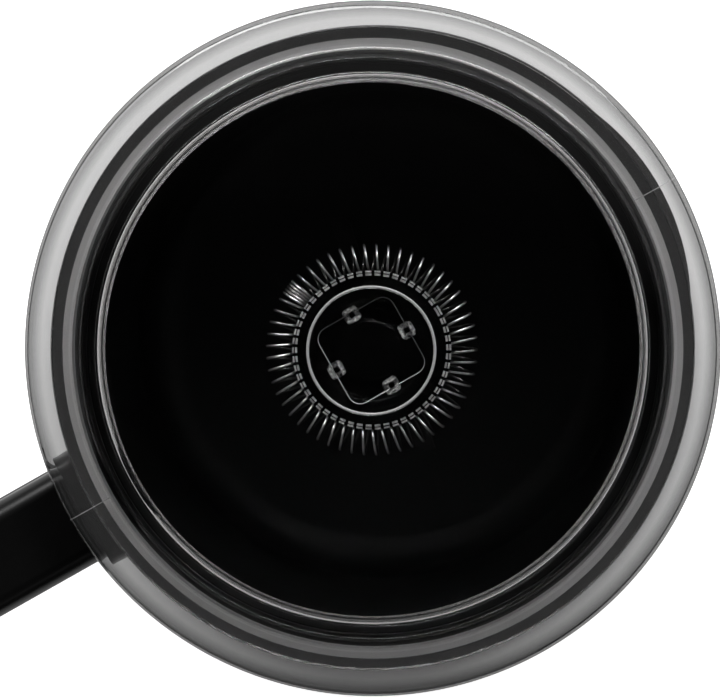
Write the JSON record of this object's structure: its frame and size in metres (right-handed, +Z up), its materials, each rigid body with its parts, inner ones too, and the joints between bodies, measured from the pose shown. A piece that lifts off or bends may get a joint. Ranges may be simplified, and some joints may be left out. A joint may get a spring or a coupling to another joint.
{
  "type": "milk frother",
  "caption": "Electric milk frother: round heated jug with a black non-stick pot, D handle, pouring lip and clear lid holding a spring whisk, on a power base.",
  "frame": {"origin": "on the jug's axis, on the surface that the base's foot ring stands on", "axes": "+Z up along the jug's axis, +X towards the handle, -X towards the pouring lip, -Y towards the button"},
  "size_m": [0.144, 0.104, 0.16],
  "materials": {
    "clear_plastic": "clear moulded plastic, polished",
    "black_plastic": "black moulded plastic, satin",
    "black_gloss": "black moulded plastic, polished",
    "silicone": "dark silicone, matt",
    "rubber": "black rubber, matt",
    "nonstick": "black non-stick coating on steel, bare lip",
    "steel_brushed": "brushed stainless steel",
    "steel": "bright steel",
    "spring_steel": "drawn stainless wire",
    "magnet": "nickel plated",
    "board": "printed board, green mask",
    "light": "milky light guide",
    "inner_plastic": "grey heat-proof plastic"
  },
  "bodies": {
    "power_base": {"base_housing": "black_plastic", "base_plate": "black_plastic", "foot_ring": "rubber", "base_connector": "black_plastic", "cord_gland": "rubber", "base_screws": "steel"},
    "jug": {"lower_housing": "black_plastic", "bottom_plate": "black_plastic", "jug_socket": "black_plastic", "inner_pot": "nonstick", "spindle": "steel", "outer_shell": "steel_brushed", "top_collar": "black_plastic", "handle_shell": "black_gloss", "handle_cover": "black_plastic", "handle_screws": "steel", "motor_bracket": "inner_plastic", "motor": "steel", "heater_ring": "steel", "temperature_sensor": "inner_plastic", "control_board": "board", "push_switch": "black_plastic", "light_ring": "light"},
    "rotor": {"motor_shaft": "steel", "magnet_holder": "inner_plastic", "drive_magnets": "magnet"},
    "stirring_whisk": {"stirrer": "black_plastic", "stirrer_magnets": "magnet"},
    "start_button": {"button": "black_gloss"},
    "lid": {"lid_cover": "clear_plastic", "lid_seal": "silicone"},
    "frothing_whisk": {"whisk_hub": "black_plastic", "whisk_spring": "spring_steel", "whisk_magnets": "magnet"}
  },
  "joints": [
    {"name": "jug_lift", "type": "slide", "parent": "power_base", "child": "jug", "axis": [0, 0, 1], "range_m": [0, 0.12]},
    {"name": "lid_lift", "type": "slide", "parent": "jug", "child": "lid", "axis": [0, 0, 1], "range_m": [0, 0.08]},
    {"name": "whisk_pull", "type": "slide", "parent": "lid", "child": "frothing_whisk", "axis": [0, 0, -1], "range_m": [0, 0.05]},
    {"name": "drive_spin", "type": "hinge", "parent": "jug", "child": "rotor", "pos_m": [0, 0, 0.054], "axis": [0, 0, 1], "continuous": true},
    {"name": "stirrer_spin", "type": "hinge", "parent": "jug", "child": "stirring_whisk", "pos_m": [0, 0, 0.06], "axis": [0, 0, 1], "continuous": true},
    {"name": "button_press", "type": "slide", "parent": "jug", "child": "start_button", "axis": [0, 1, 0], "range_m": [0, 0.0006], "stiffness_N_per_m": 800}
  ],
  "couplings": [
    {"joint": "stirrer_spin", "follows": "drive_spin", "ratio": 1}
  ]
}
